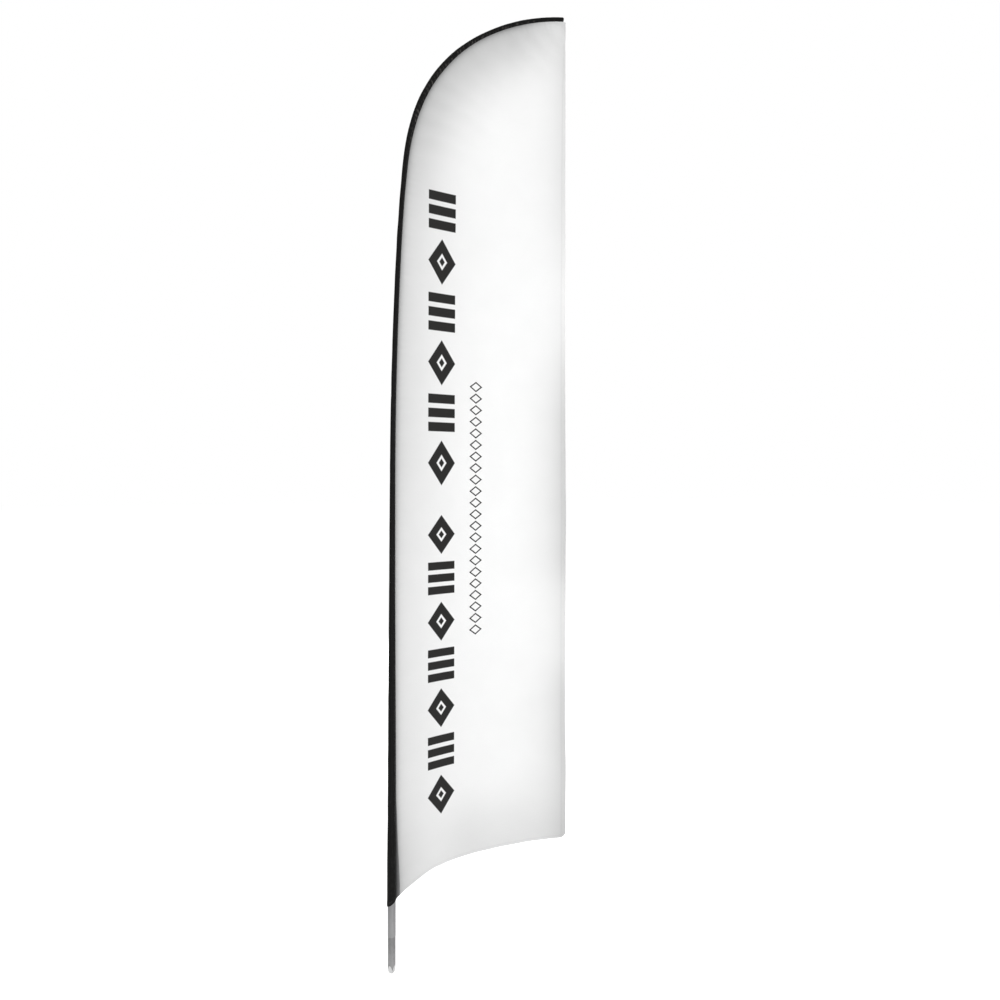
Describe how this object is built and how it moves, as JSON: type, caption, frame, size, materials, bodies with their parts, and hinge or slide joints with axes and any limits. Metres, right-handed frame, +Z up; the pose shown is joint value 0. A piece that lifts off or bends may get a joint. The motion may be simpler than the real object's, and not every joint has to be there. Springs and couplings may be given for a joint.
{
  "type": "feather flag with pole",
  "caption": "Tall feather-shaped cloth flag in a black pole pocket, on a tapering pole that bends over at the top and ends below in a bare grey metal foot.",
  "frame": {"origin": "centre of the flat end of the pole's foot, at the bottom of the base socket that it stands in", "axes": "+Z up along the straight foot of the pole, +X from the pole towards the free edge, +Y to the back, the way the cloth bellies"},
  "size_m": [0.6348, 0.0937, 3.2003],
  "materials": {
    "panel_cloth": "matt knitted polyester, white with a dark grey print",
    "pocket_cloth": "black stretch webbing cloth",
    "rod": "satin glass-fibre rod",
    "tube": "brushed anodised tube",
    "foot": "brushed anodised tube with bright cut bevels"
  },
  "bodies": {
    "root": {"panel": "panel_cloth", "pole_pocket": "pocket_cloth", "top_rod": "rod", "lower_tube": "tube", "foot_tube": "foot"}
  },
  "joints": []
}
